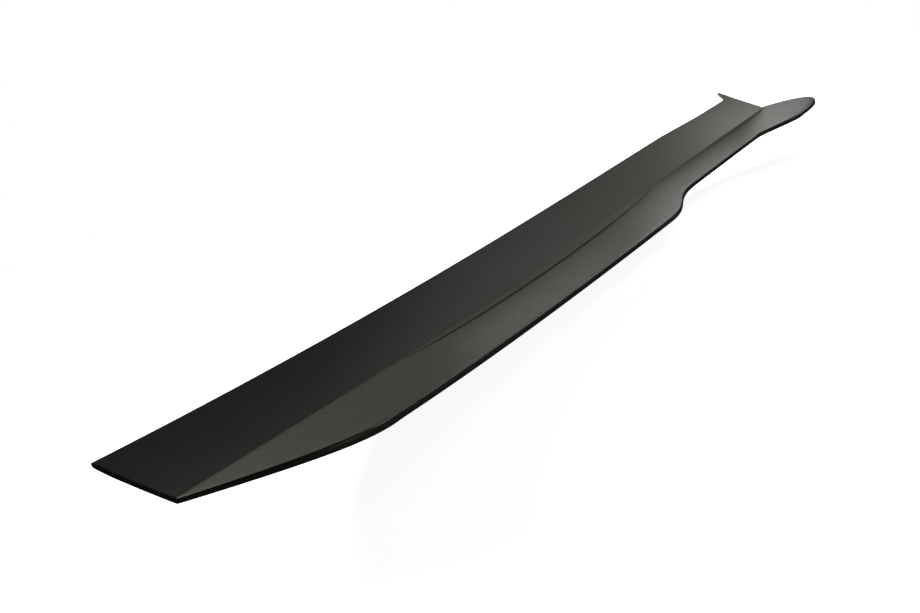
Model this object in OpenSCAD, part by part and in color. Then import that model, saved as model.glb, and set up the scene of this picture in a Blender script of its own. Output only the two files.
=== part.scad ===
// Rear spoiler for a car: one formed plastic shell, open underneath.
// X runs across the car, Y points to the rear, Z is up.
// The origin is the underside of the fold line at mid span.

/* [Span] */
// half span at which the sweep and the lift below are quoted
span_half = 620; // [500:5:720]
// right-hand end of the blade and the base
near_end = 622; // [600:1:640]
// left-hand end of the rear blade
far_blade_end = 622; // [600:1:632]
// left-hand end of the front base
far_base_end = 630; // [628:1:650]

/* [Fold line] */
// how far the ends of the fold lie ahead of its middle
sweep = 60; // [0:1:90]
// extra sweep gathered near the tips
tip_sweep = 34; // [0:1:60]
// how far the ends of the fold lie above its middle
lift = 37; // [0:1:60]
// extra lift gathered near the tips
tip_lift = 9; // [0:1:30]

/* [Rear blade] */
// depth of the blade in plan at mid span
blade_depth = 61; // [40:1:80]
// how much shallower the blade is at its ends
blade_taper = 14; // [0:1:24]
// rise of the rear edge above the fold at mid span
blade_rise = 29; // [15:0.5:45]
// how much less the rear edge rises at the ends
blade_droop = 2.5; // [0:0.5:10]
// how far the rear edge draws in towards the left rear corner
ear_dip = 3.4; // [0:0.2:8]
// where that drawing in starts
dip_start = 470; // [400:5:500]
// where it is complete
dip_end = 570; // [540:5:600]
// length of the pointed ear on the left rear corner
ear_length = 15; // [4:0.5:20]
// width of that ear where it leaves the edge
ear_width = 11; // [4:0.5:20]
// width of its blunt tip
ear_tip = 1; // [0.6:0.2:2]
// rounding of the right rear corner
tip_round = 2; // [1.5:0.5:7]

/* [Front base] */
// depth of the base in plan at mid span
base_depth = 130; // [115:1:145]
// how much shallower the base is where the end curves begin
base_taper = 13; // [0:1:20]
// slope of the base, rising to the front, degrees
base_slope = 8; // [2:0.5:12]
// where the end curves begin, measured from the middle
end_curve_start = 504; // [490:1:530]
// length of the straight right end, ahead of its rear corner
near_end_run = 7.91; // [4:0.01:20]
// how far behind the fold the left end curve begins
far_curve_back = 3; // [1:1:12]
// slant of the end curves where they leave the ends
end_slant = 1.3; // [1.1:0.05:2]
// fullness of the end curves towards the front
end_fullness = 2.5; // [1.5:0.1:3]

/* [Front recess] */
// depth of the base along the recess
recess_depth = 82; // [70:1:100]
// start of the long inner step
step_start = 96; // [60:2:160]
// end of the long inner step
step_end = 288; // [240:2:320]
// start of the short outer step
shoulder_start = 460; // [440:1:470]
// end of the short outer step
shoulder_end = 498; // [485:1:504]

/* [Raised lens] */
// middle of the lens along the span
lens_middle = 38; // [-60:1:100]
// half length of the lens
lens_half = 306; // [200:1:360]
// greatest width of the lens ahead of the fold
lens_width = 24; // [10:1:40]
// height of the lens step above the base
lens_step = 1.4; // [0.6:0.1:3]
// run of that step in plan
lens_run = 0.8; // [0.4:0.1:2]

/* [Shell] */
// thickness of the sheet
wall = 3; // [2:0.5:5]
// how far the rim stands below the sheet
rim_drop = 1.8; // [1:0.2:8]
// how far it still does at the two ends
rim_end = 0.4; // [0.2:0.1:1]
// length over which it gets lower towards each end
rim_fade = 70; // [20:5:100]
// thickness of the rim
rim_wall = 3; // [2:0.5:5]

/* [Quality] */
// stations along the span
stations = 80; // [40:8:120]
// points along each end curve
curve_points = 14; // [8:1:24]
// points along each rounded step
step_points = 8; // [5:1:16]

/* [Hidden] */
reach = max(far_base_end, near_end) + tip_round;
blade_over = blade_depth + ear_length + tip_round;
base_over = base_depth + tip_round;
deep = lift + tip_lift + blade_rise + base_depth;
lens_power = 0.6;

// fold line and edge laws
function share(x) = x / span_half;
function fold_y(x) = -sweep * pow(share(x), 2) - tip_sweep * pow(share(x), 4);
function fold_z(x) = wall + lift * pow(share(x), 2) + tip_lift * pow(share(x), 4);
function blade_d(x) = blade_depth - blade_taper * pow(share(x), 2);
function rear_d(x) = blade_d(x) - ear_dip * ease((x - dip_start) / (dip_end - dip_start));
function near_curve_back() = blade_d(near_end) - near_end_run;
function blade_h(x) = blade_rise - blade_droop * pow(share(x), 2);
function top_z(x, u) = fold_z(x) + (u > 0 ? u * blade_h(x) / blade_d(x) : -u * tan(base_slope));
function away_from_ends(x) = ease((near_end - abs(x)) / rim_fade);
function ease(t) = let (k = min(1, max(0, t))) k * k * (3 - 2 * k);
function plain_d(x) = base_depth - base_taper * pow(x / end_curve_start, 4);
function inner_step(x) = ease((x - step_start) / (step_end - step_start));
function outer_step(x) = ease((x - shoulder_start) / (shoulder_end - shoulder_start));
function recess(x) = inner_step(x) * (1 - outer_step(x));
function base_d(x) = plain_d(x) + (recess_depth - plain_d(x)) * recess(x);
function lens_t(x) = pow(max(0, 1 - pow((x - lens_middle) / lens_half, 2)), lens_power);
function lens_u(x) = lens_run + lens_width * lens_t(x);

// point of the plan: x along the span, u behind the fold line
function plan(x, u) = [x, fold_y(x) + u];
function point(x, u, drop) = [x, fold_y(x) + u, top_z(x, u) - drop];

// end curve: a quarter curve from the end of the blade, or the fold, to the front edge
function end_u(t, back) = back - (base_d(end_curve_start) + back) * t;
function end_x(t, end) = end_curve_start
  + (end - end_curve_start) * pow(max(0, 1 - pow(t, end_slant)), 1 / end_fullness);
function end_curve(end, side, back) = [for (i = [0 : curve_points]) let (t = sin(90 * i / curve_points))
  plan(side * end_x(t, end), end_u(t, back))];
function reversed(list) = [for (i = [len(list) - 1 : -1 : 0]) list[i]];

// rear edge, left end, front edge and right end of the plan, in turn
function rear_edge() = [for (x = spread(tip_round - near_end, far_blade_end - ear_width, stations))
  plan(x, rear_d(x))];
function ear() = [plan(far_blade_end - ear_tip, rear_d(far_blade_end) + ear_length),
  plan(far_blade_end, rear_d(far_blade_end) + ear_length - 2 * ear_tip), plan(far_blade_end, far_curve_back)];
function spread(a, b, n) = [for (i = [1 : n]) a + (b - a) * i / n];
function front_edge() = [for (x = concat(spread(end_curve_start, shoulder_start, step_points),
  spread(shoulder_start, step_end, step_points), spread(step_end, step_start, 2 * step_points),
  spread(step_start, -end_curve_start, stations))) plan(x, -base_d(x))];
function near_corner() = [for (i = [0 : curve_points]) let (t = 90 * i / curve_points)
  plan(-near_end + tip_round * (1 - cos(t)), blade_d(near_end) - tip_round * (1 - sin(t)))];
function outline() = concat(rear_edge(), ear(), end_curve(far_base_end, 1, far_curve_back), front_edge(),
  reversed(end_curve(near_end, -1, near_curve_back())), near_corner());

// slab that follows the folded top face, from one depth below it to another, with a swell away from the ends
module folded_slab(upper, lower, swell) {
  top = [for (i = [0 : stations]) let (x = reach * (2 * i / stations - 1), d = lens_u(x))
    each [point(x, -base_over, upper), point(x, -d - lens_run, upper),
      point(x, -d, upper - lens_step * lens_t(x)), point(x, 0, upper), point(x, blade_over, upper)]];
  low = [for (p = top) [p[0], p[1], p[2] + upper - lower - swell * away_from_ends(p[0])]];
  n = 5;
  m = len(top);
  skin = [for (i = [0 : stations - 1], j = [0 : n - 2]) let (a = i * n + j)
    each [[a, a + 1, a + n], [a + 1, a + n + 1, a + n]]];
  under = [for (f = skin) [f[0] + m, f[2] + m, f[1] + m]];
  rear = [for (i = [0 : stations - 1]) let (a = i * n)
    each [[a, a + n, a + m], [a + n, a + n + m, a + m]]];
  front = [for (i = [0 : stations - 1]) let (a = i * n + n - 1)
    each [[a, a + m, a + n], [a + n, a + m, a + n + m]]];
  caps = [for (j = [0 : n - 2]) let (b = stations * n + j)
    each [[j, j + m, j + 1], [j + 1, j + m, j + 1 + m], [b, b + 1, b + m], [b + 1, b + 1 + m, b + m]]];
  polyhedron(concat(top, low), concat(skin, under, rear, front, caps));
}

// upright prism over the plan, drawn in by a margin
module prism(margin) {
  translate([0, 0, -deep]) linear_extrude(3 * deep) offset(delta = -margin) polygon(outline());
}

// shell with a turned-down rim and an open underside
module shell() {
  difference() {
    intersection() {
      prism(0);
      folded_slab(0, wall + rim_end, rim_drop - rim_end);
    }
    intersection() {
      prism(rim_wall);
      folded_slab(wall, 2 * wall + rim_drop, 0);
    }
  }
}

module spoiler() {
  color([0.04, 0.04, 0.038]) shell();
}

spoiler();
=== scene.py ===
import math
import bpy
from mathutils import Matrix, Vector


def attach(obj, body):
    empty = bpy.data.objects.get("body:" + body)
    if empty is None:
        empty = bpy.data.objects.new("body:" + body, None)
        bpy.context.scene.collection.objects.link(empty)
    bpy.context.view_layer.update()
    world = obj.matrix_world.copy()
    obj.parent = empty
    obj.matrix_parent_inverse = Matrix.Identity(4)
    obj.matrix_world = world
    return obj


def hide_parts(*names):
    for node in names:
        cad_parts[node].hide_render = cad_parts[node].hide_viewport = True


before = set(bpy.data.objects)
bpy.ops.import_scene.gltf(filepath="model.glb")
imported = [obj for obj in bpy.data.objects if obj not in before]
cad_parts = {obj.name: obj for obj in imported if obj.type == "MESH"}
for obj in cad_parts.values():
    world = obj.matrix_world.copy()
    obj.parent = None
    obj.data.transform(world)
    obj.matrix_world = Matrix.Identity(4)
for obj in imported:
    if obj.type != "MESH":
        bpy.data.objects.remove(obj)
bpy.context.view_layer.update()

NODE = "spoiler"

# The skin follows the CAD part's own formulas at a finer step, and its lengths are in millimetres too.
# Its own are the rounded edges, the flare of the ear, the dish in the base and the step beyond the lens.
MM = 0.001

# span
SPAN_HALF = 620
NEAR_END = 622
FAR_BLADE_END = 622
FAR_BASE_END = 630

# fold line: how far its ends lie ahead of and above its middle, and how far its crease is rounded
SWEEP = 60
TIP_SWEEP = 34
LIFT = 37
TIP_LIFT = 9
FOLD_ROUND = 0.8

# rear blade, with the pointed ear on its far corner
BLADE_DEPTH = 61
BLADE_TAPER = 14
BLADE_RISE = 29
BLADE_DROOP = 2.5
EAR_DIP = 3.4
DIP_START, DIP_END = 470, 570
EAR_LENGTH = 15
EAR_WIDTH = 11
EAR_TIP = 1
EAR_FLARE = 1.4
CORNER = 2

# front base, with the dish in it and the recess in its front edge
BASE_DEPTH = 130
BASE_TAPER = 13
BASE_SLOPE = math.tan(math.radians(8))
BASE_SAG = 1.0
CURVE_START = 504
NEAR_END_RUN = 7.91
FAR_CURVE_BACK = 3
END_SLANT = 1.3
END_FULLNESS = 2.5
RECESS_DEPTH = 82
STEP_START, STEP_END = 96, 288
SHOULDER_START, SHOULDER_END = 460, 498

# lens ahead of the fold, beyond which the base steps down
LENS_MIDDLE = 38
LENS_HALF = 306
LENS_WIDTH = 24
LENS_STEP = 1.4
LENS_RUN = 0.2
LENS_POWER = 0.6

# shell, its rim and its rounded edges
WALL = 3
RIM_DROP = 1.8
RIM_END = 0.4
RIM_FADE = 70
RIM_WALL = 3
EDGE_ROUND = 1.5
FOOT_ROUND = 0.6
EAR_ROUND_SHARE = 0.25

# grid of the skin, whose first and last columns start at END_DEPTH ahead of the fold line
MIDDLE_COLUMNS = 252
END_COLUMNS = 26
END_DEPTH = 15
BLEND_COLUMNS = 14
LENS_ROWS = 4
BASE_ROWS = 12
BLADE_ROWS = 10
ROUND_STEPS = 4
MITRE_LIMIT = 0.5
SHARP_ANGLE = math.radians(35)

# satin black plastic
PLASTIC_DARK = (0.0285, 0.0282, 0.0245, 1)
PLASTIC_LIGHT = (0.0325, 0.0321, 0.0280, 1)
PLASTIC_IOR = 1.5
ROUGHNESS = (0.31, 0.35)
GLOSS_TINT = (1, 0.97, 0.75, 1)
MOTTLE_SCALE, MOTTLE_DETAIL = 40, 4
GLOSS_SCALE, GLOSS_DETAIL = 120, 3
GRAIN_SCALE, GRAIN_DETAIL = 1500, 2
GRAIN_STRENGTH = 0.1
GRAIN_DEPTH = 0.00005
NOISE_RANGE = (0.3, 0.7)

# softboxes, in metres and watts: name, place, target, width, height, power
# The rear one lights the base and hardly the blade, and the far ones brighten the far end.
FAR_HALF_MIDDLE = (0.3, 0, 0.05)
SOFTBOXES = [
    ("rear_bank", (0.1, 2.2, 1.15), (0.1, 0, 0.05), 0.9, 0.5, 150),
    ("front_fill", (-0.4, -2.2, 0.5), (-0.1, 0, 0.05), 1.6, 0.8, 5),
    ("far_high", (1.6, -0.6, 1.0), (1.2, -0.3, 0), 0.6, 0.6, 3.0),
    ("far_front", (2.2, -1.2, 1.2), FAR_HALF_MIDDLE, 0.5, 0.4, 2.3),
    ("far_top", (2.2, -0.6, 1.7), FAR_HALF_MIDDLE, 0.5, 0.4, 2.5),
    ("far_middle", (2.2, 0, 1.45), FAR_HALF_MIDDLE, 0.5, 0.9, 0.6),
    ("far_low", (2.2, 0.6, 0.5), FAR_HALF_MIDDLE, 0.5, 0.8, 1.1),
    ("far_rear", (2.2, 1.2, 0.3), FAR_HALF_MIDDLE, 0.5, 0.4, 0.26),
]

# world and floor, in metres, where SURROUND and FLOOR_UNSEEN are for all rays but the camera's
WHITE = (1, 1, 1, 1)
SURROUND = 0.01
FLOOR_HALF = 1.8
FLOOR_GAP = 0.002
FLOOR_TONE = 0.8
FLOOR_GRAIN = 0.02
FLOOR_GRAIN_SCALE, FLOOR_GRAIN_DETAIL = 60, 2
FLOOR_UNSEEN = 0.1
FLOOR_GLOW = 0.92

# camera, fitted to the photograph's edges, in metres, degrees and millimetres of lens
CAMERA_PLACE = (-1.1150, -0.5870, 0.2430)
CAMERA_AZIMUTH = 300.45
CAMERA_ELEVATION = 11.17
CAMERA_ROLL = 15.15
CAMERA_LENS = 52.03
CAMERA_NEAR_CLIP = 0.01


def ease(t):
    k = min(1, max(0, t))
    return k * k * (3 - 2 * k)


def spread(first, last, steps):
    """Evenly spaced values, both ends included."""
    return [first + (last - first) * k / steps for k in range(steps + 1)]


def share(x):
    return x / SPAN_HALF


def fold_y(x):
    return -SWEEP * share(x) ** 2 - TIP_SWEEP * share(x) ** 4


def fold_z(x):
    return WALL + LIFT * share(x) ** 2 + TIP_LIFT * share(x) ** 4


def blade_depth(x):
    return BLADE_DEPTH - BLADE_TAPER * share(x) ** 2


def blade_slope(x):
    return (BLADE_RISE - BLADE_DROOP * share(x) ** 2) / blade_depth(x)


def ear_share(x):
    t = (x - (FAR_BLADE_END - EAR_WIDTH)) / (EAR_WIDTH - EAR_TIP)
    return min(1, max(0, t)) ** EAR_FLARE


def rear_depth(x, eared):
    """How far behind the fold line the rear edge is at x, with or without the ear."""
    plain = blade_depth(x) - EAR_DIP * ease((x - DIP_START) / (DIP_END - DIP_START))
    return plain + eared * EAR_LENGTH * ear_share(x)


def base_depth(x):
    """How far ahead of the fold line the front edge is at x, between the end curves."""
    plain = BASE_DEPTH - BASE_TAPER * (x / CURVE_START) ** 4
    inner = ease((x - STEP_START) / (STEP_END - STEP_START))
    outer = ease((x - SHOULDER_START) / (SHOULDER_END - SHOULDER_START))
    return plain + (RECESS_DEPTH - plain) * inner * (1 - outer)


def lens(x):
    return max(0, 1 - ((x - LENS_MIDDLE) / LENS_HALF) ** 2) ** LENS_POWER


def lens_edge(x):
    return LENS_RUN + LENS_WIDTH * lens(x)


def rim_height(x):
    return WALL + RIM_END + (RIM_DROP - RIM_END) * ease((NEAR_END - abs(x)) / RIM_FADE)


def near_curve_back():
    return blade_depth(NEAR_END) - NEAR_END_RUN


def lip_depth(x):
    """How far ahead of the fold line the front edge is at x, end curves included."""
    if abs(x) <= CURVE_START:
        return base_depth(x)
    end, back = (FAR_BASE_END, FAR_CURVE_BACK) if x > 0 else (NEAR_END, near_curve_back())
    t = (1 - min(1, (abs(x) - CURVE_START) / (end - CURVE_START)) ** END_FULLNESS) ** (1 / END_SLANT)
    return (base_depth(CURVE_START) + back) * t - back


def top_z(x, u):
    """Height of the top face at x, u behind the fold line.

    The fold is a little rounded and the base is dished. The base steps down at the lens edge and is
    back at its own height at the front edge.
    """
    size = abs(u) if abs(u) > FOLD_ROUND else (u * u + FOLD_ROUND ** 2) / (2 * FOLD_ROUND)
    rise = blade_slope(x)
    height = fold_z(x) + (rise - BASE_SLOPE) / 2 * u + (rise + BASE_SLOPE) / 2 * size
    lip = lip_depth(x)
    if u >= 0 or lip <= -u:
        return height
    height -= 4 * BASE_SAG * -u / BASE_DEPTH * (1 + u / lip)
    past = -u - lens_edge(x)
    if past > 0:
        height -= LENS_STEP * lens(x) * min(1, past / LENS_RUN) * (1 - past / (lip - lens_edge(x)))
    return height


def end_x(u, end, back):
    """Where the end curve of the outline is at u behind the fold line."""
    t = min(1, max(0, (back - u) / (base_depth(CURVE_START) + back)))
    return CURVE_START + (end - CURVE_START) * (1 - t ** END_SLANT) ** (1 / END_FULLNESS)


def near_x(u):
    return -end_x(u, NEAR_END, near_curve_back())


def far_x(u):
    return end_x(u, FAR_BASE_END, FAR_CURVE_BACK) if u < FAR_CURVE_BACK else FAR_BLADE_END


def end_columns(curve, side, rear_end, eared):
    """Front, fold and rear points of the columns from one end to the start of its end curve."""
    deep = base_depth(CURVE_START)
    first = math.asin(END_DEPTH / deep)
    made = []
    for i in range(END_COLUMNS):
        depth = deep * math.sin(first + (math.pi / 2 - first) * i / END_COLUMNS)
        t = (abs(curve(-depth)) - CURVE_START) / (abs(curve(-END_DEPTH)) - CURVE_START)
        fold = side * (CURVE_START + (abs(curve(0)) - CURVE_START) * t)
        rear = side * (CURVE_START + (rear_end - CURVE_START) * t)
        made.append(((curve(-depth), -depth), (fold, 0), (rear, rear_depth(rear, eared))))
    return made


def columns(eared):
    """Front, fold and rear points of every column, from the near end to the far end."""
    middle = []
    for i in range(MIDDLE_COLUMNS + 1):
        x = CURVE_START * (2 * i / MIDDLE_COLUMNS - 1)
        middle.append(((x, -base_depth(x)), (x, 0), (x, rear_depth(x, eared))))
    near = end_columns(near_x, -1, NEAR_END - CORNER / 3, eared)
    far = end_columns(far_x, 1, FAR_BLADE_END, eared)
    return near + middle + far[::-1]


def levels(front, fold, rear):
    """Distances behind the fold line of one column's rows, from its front point to its rear point."""
    edge = max(lens_edge(fold[0]), 2 * FOLD_ROUND)
    base = [FOLD_ROUND / 2] + spread(FOLD_ROUND, edge, LENS_ROWS)
    base += spread(edge + LENS_RUN, -front[1], BASE_ROWS)
    blade = [FOLD_ROUND / 2, FOLD_ROUND] + spread(FAR_CURVE_BACK, rear[1] - CORNER, BLADE_ROWS)
    return [-u for u in reversed(base)] + [0] + blade + [rear[1]]


def along(column, u):
    """Point of a column's line at u behind the fold line."""
    front, fold, rear = column
    far = front if u < 0 else rear
    return fold[0] + (far[0] - fold[0]) * u / far[1], u


def blended(made, near_line, far_line):
    """The rows of all columns, bent near both ends so that they meet the end lines."""
    last = len(made) - 1
    ends = list(zip(near_line, made[0], far_line, made[last]))
    bent = []
    for i, column in enumerate(made):
        near = max(0, 1 - i / BLEND_COLUMNS) ** 2
        far = max(0, 1 - (last - i) / BLEND_COLUMNS) ** 2
        rows = []
        for (x, u), (near_to, near_from, far_to, far_from) in zip(column, ends):
            rows.append((x + near * (near_to[0] - near_from[0]) + far * (far_to[0] - far_from[0]),
                         u + near * (near_to[1] - near_from[1]) + far * (far_to[1] - far_from[1])))
        bent.append(rows)
    return bent


def plan_grid(eared):
    """Plan positions, x and u, of every row of every column up to the outline."""
    made = []
    for column in columns(eared):
        made.append([along(column, u) for u in levels(*column)])
    near_line = [(near_x(u), u) for x, u in made[0][:-1]] + [made[0][-1]]
    far_line = [(far_x(u), u) for x, u in made[-1]]
    return blended(made, near_line, far_line)


def rim_order(grid):
    """Places of the outline in the grid, in turn: front edge, far end, rear edge, near end."""
    last, top = len(grid) - 1, len(grid[0]) - 1
    front = [(i, 0) for i in range(last)]
    far = [(last, j) for j in range(top)]
    rear = [(i, top) for i in range(last, 0, -1)]
    near = [(0, j) for j in range(top, 0, -1)]
    return front + far + rear + near


def inset(points, distance, shares):
    """The outline drawn in by each point's share of a distance."""
    plan = [Vector((x, fold_y(x) + u)) for x, u in points]
    moved = []
    for i, point in enumerate(plan):
        before = (point - plan[i - 1]).normalized()
        after = (plan[(i + 1) % len(plan)] - point).normalized()
        edge = (before + after).normalized()
        step = distance * shares[i] / max(MITRE_LIMIT, edge.dot(after))
        inner = point + step * Vector((-edge.y, edge.x))
        moved.append((inner.x, inner.y - fold_y(inner.x)))
    return moved


def inner_grid(grid, order, edge):
    """The grid drawn in to a new outline, with its rows set out again."""
    place = dict(zip(order, edge))
    last, top = len(grid) - 1, len(grid[0]) - 1
    fold_row = next(j for j, point in enumerate(grid[len(grid) // 2]) if point[1] == 0)
    made = []
    for i in range(last + 1):
        column = (place[(i, 0)], grid[i][fold_row], place[(i, top)])
        made.append([along(column, u) for u in levels(*column)])
    near_line = [place[(0, j)] for j in range(top + 1)]
    far_line = [place[(last, j)] for j in range(top + 1)]
    return blended(made, near_line, far_line)


def round_shares(edge):
    """Share of the edge rounding at each point of the outline: whole, but less out on the ear."""
    shares = []
    for x, u in edge:
        out = min(1, max(0, u - rear_depth(x, False)) / CORNER)
        shares.append(1 - (1 - EAR_ROUND_SHARE) * out)
    return shares


def rim_rings(edge, plain_edge):
    """Rings of points from the top face's edge, down the rim and up to the underside.

    Each point is x, u and its drop below the top face.
    """
    shares = round_shares(edge)
    turns = spread(0, math.pi / 2, ROUND_STEPS)
    rings = []
    for turn in turns:
        points = inset(edge, EDGE_ROUND * (1 - math.sin(turn)), shares)
        drop = EDGE_ROUND * (1 - math.cos(turn))
        rings.append([(x, u, drop * s) for (x, u), s in zip(points, shares)])
    for turn in turns[::-1]:
        points = inset(edge, FOOT_ROUND * (1 - math.sin(turn)), shares)
        gap = FOOT_ROUND * (1 - math.cos(turn))
        rings.append([(x, u, rim_height(x) - gap * s) for (x, u), s in zip(points, shares)])
    inner = inset(plain_edge, RIM_WALL, [1] * len(edge))
    rings.append([(x, u, rim_height(x)) for x, u in inner])
    rings.append([(x, u, WALL) for x, u in inner])
    return rings


def band(upper, lower, count):
    """Faces between two rings, each given by the number of its first point."""
    faces = []
    for k in range(count):
        following = (k + 1) % count
        faces.append([upper + k, lower + k, lower + following, upper + following])
    return faces


def sheet(grid, order, ring, start):
    """Inner points of a grid, and its faces. Its outline is numbered from ring, the rest from start."""
    inner = [(i, j) for i in range(1, len(grid) - 1) for j in range(1, len(grid[0]) - 1)]
    number = {place: ring + k for k, place in enumerate(order)}
    number.update({place: start + k for k, place in enumerate(inner)})
    faces = []
    for i in range(len(grid) - 1):
        for j in range(len(grid[0]) - 1):
            corners = [(i, j), (i + 1, j), (i + 1, j + 1), (i, j + 1)]
            faces.append([number[corner] for corner in corners])
    return [grid[i][j] for i, j in inner], faces


def shell():
    """Points, as x, u and drop below the top face, and faces of the closed shell."""
    outer, plain = plan_grid(True), plan_grid(False)
    order = rim_order(outer)
    rings = rim_rings([outer[i][j] for i, j in order], [plain[i][j] for i, j in order])
    points = [point for ring in rings for point in ring]
    firsts = range(0, len(points), len(order))
    faces = []
    for upper, lower in zip(firsts, firsts[1:]):
        faces += band(upper, lower, len(order))
    top = inner_grid(outer, order, [point[:2] for point in rings[0]])
    inside, top_faces = sheet(top, order, firsts[0], len(points))
    points += [(x, u, 0) for x, u in inside]
    under = inner_grid(plain, order, [point[:2] for point in rings[-1]])
    inside, under_faces = sheet(under, order, firsts[-1], len(points))
    points += [(x, u, WALL) for x, u in inside]
    return points, faces + top_faces + [face[::-1] for face in under_faces]


def add_skin():
    points, faces = shell()
    mesh = bpy.data.meshes.new("spoiler_skin")
    mesh.from_pydata([(x * MM, (fold_y(x) + u) * MM, (top_z(x, u) - drop) * MM) for x, u, drop in points],
                     [], faces)
    mesh.validate()
    mesh.shade_smooth()
    mesh.set_sharp_from_angle(angle=SHARP_ANGLE)
    mesh.materials.append(plastic())
    skin = bpy.data.objects.new("spoiler_skin", mesh)
    bpy.context.scene.collection.objects.link(skin)
    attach(skin, "root")
    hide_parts(NODE)


def new_material(name):
    """A material, its node tree and its shader."""
    material = bpy.data.materials.new(name)
    material.use_nodes = True
    return material, material.node_tree, material.node_tree.nodes["Principled BSDF"]


def noise(tree, coordinates, scale, detail):
    node = tree.nodes.new("ShaderNodeTexNoise")
    node.inputs["Scale"].default_value = scale
    node.inputs["Detail"].default_value = detail
    place = tree.nodes.new("ShaderNodeTexCoord").outputs[coordinates]
    tree.links.new(place, node.inputs["Vector"])
    return node.outputs["Fac"]


def ramp(tree, source, source_range, low, high):
    """Map a range of the source to run from low to high."""
    node = tree.nodes.new("ShaderNodeMapRange")
    node.inputs["From Min"].default_value = source_range[0]
    node.inputs["From Max"].default_value = source_range[1]
    node.inputs["To Min"].default_value = low
    node.inputs["To Max"].default_value = high
    tree.links.new(source, node.inputs["Value"])
    return node.outputs["Result"]


def camera_only(tree, seen, unseen):
    """One value for camera rays and another for all other rays."""
    path = tree.nodes.new("ShaderNodeLightPath").outputs["Is Camera Ray"]
    return ramp(tree, path, (0, 1), unseen, seen)


def plastic():
    """Satin black plastic: a fine grain, a slightly uneven gloss and a faint mottle in its colour."""
    material, tree, shader = new_material("satin_black_plastic")
    mottle = noise(tree, "Object", MOTTLE_SCALE, MOTTLE_DETAIL)
    colour = tree.nodes.new("ShaderNodeMix")
    colour.data_type = "RGBA"
    colour.inputs["A"].default_value = PLASTIC_DARK
    colour.inputs["B"].default_value = PLASTIC_LIGHT
    tree.links.new(ramp(tree, mottle, NOISE_RANGE, 0, 1), colour.inputs["Factor"])
    tree.links.new(colour.outputs["Result"], shader.inputs["Base Color"])
    gloss = noise(tree, "Object", GLOSS_SCALE, GLOSS_DETAIL)
    tree.links.new(ramp(tree, gloss, NOISE_RANGE, *ROUGHNESS), shader.inputs["Roughness"])
    bump = tree.nodes.new("ShaderNodeBump")
    bump.inputs["Strength"].default_value = GRAIN_STRENGTH
    bump.inputs["Distance"].default_value = GRAIN_DEPTH
    tree.links.new(noise(tree, "Object", GRAIN_SCALE, GRAIN_DETAIL), bump.inputs["Height"])
    tree.links.new(bump.outputs["Normal"], shader.inputs["Normal"])
    shader.inputs["IOR"].default_value = PLASTIC_IOR
    shader.inputs["Specular Tint"].default_value = GLOSS_TINT
    return material


def pale_floor():
    """Nearly white for the camera, with the part's shadow in it, and dark for all other rays."""
    material, tree, shader = new_material("pale_floor")
    grain = noise(tree, "Generated", FLOOR_GRAIN_SCALE, FLOOR_GRAIN_DETAIL)
    shade = tree.nodes.new("ShaderNodeMath")
    shade.operation = "MULTIPLY"
    tree.links.new(ramp(tree, grain, (0, 1), FLOOR_TONE - FLOOR_GRAIN, FLOOR_TONE), shade.inputs[0])
    tree.links.new(camera_only(tree, 1, FLOOR_UNSEEN), shade.inputs[1])
    tree.links.new(shade.outputs["Value"], shader.inputs["Base Color"])
    shader.inputs["Roughness"].default_value = 1
    shader.inputs["Specular IOR Level"].default_value = 0
    shader.inputs["Emission Color"].default_value = WHITE
    tree.links.new(camera_only(tree, FLOOR_GLOW, 0), shader.inputs["Emission Strength"])
    return material


def add_floor():
    half = FLOOR_HALF
    mesh = bpy.data.meshes.new("floor")
    mesh.from_pydata([(-half, -half, 0), (half, -half, 0), (half, half, 0), (-half, half, 0)],
                     [], [(0, 1, 2, 3)])
    mesh.materials.append(pale_floor())
    floor = bpy.data.objects.new("floor", mesh)
    floor.location.z = -FLOOR_GAP
    bpy.context.scene.collection.objects.link(floor)


def add_world():
    """White for the camera and nearly dark for all other rays.

    The part has no metal or glass, and in the photo its gloss shows dark surroundings.
    """
    world = bpy.data.worlds.new("studio")
    bpy.context.scene.world = world
    world.use_nodes = True
    background = world.node_tree.nodes["Background"]
    background.inputs["Color"].default_value = WHITE
    strength = camera_only(world.node_tree, 1, SURROUND)
    world.node_tree.links.new(strength, background.inputs["Strength"])


def add_light(name, place, target, width, height, power):
    data = bpy.data.lights.new(name, "AREA")
    data.shape = "RECTANGLE"
    data.size, data.size_y, data.energy = width, height, power
    light = bpy.data.objects.new(name, data)
    light.location = place
    light.rotation_euler = (Vector(target) - Vector(place)).to_track_quat("-Z", "Y").to_euler()
    light.visible_camera = False
    bpy.context.scene.collection.objects.link(light)


def add_camera():
    camera = bpy.data.objects.new("camera", bpy.data.cameras.new("camera"))
    bpy.context.scene.collection.objects.link(camera)
    turn = (Matrix.Rotation(math.radians(CAMERA_AZIMUTH), 4, "Z")
            @ Matrix.Rotation(math.radians(90 - CAMERA_ELEVATION), 4, "X")
            @ Matrix.Rotation(math.radians(-CAMERA_ROLL), 4, "Z"))
    camera.matrix_world = Matrix.Translation(CAMERA_PLACE) @ turn
    camera.data.lens = CAMERA_LENS
    camera.data.clip_start = CAMERA_NEAR_CLIP
    bpy.context.scene.camera = camera


add_skin()
add_floor()
add_world()
for softbox in SOFTBOXES:
    add_light(*softbox)
add_camera()
bpy.context.scene.view_settings.view_transform = "Standard"
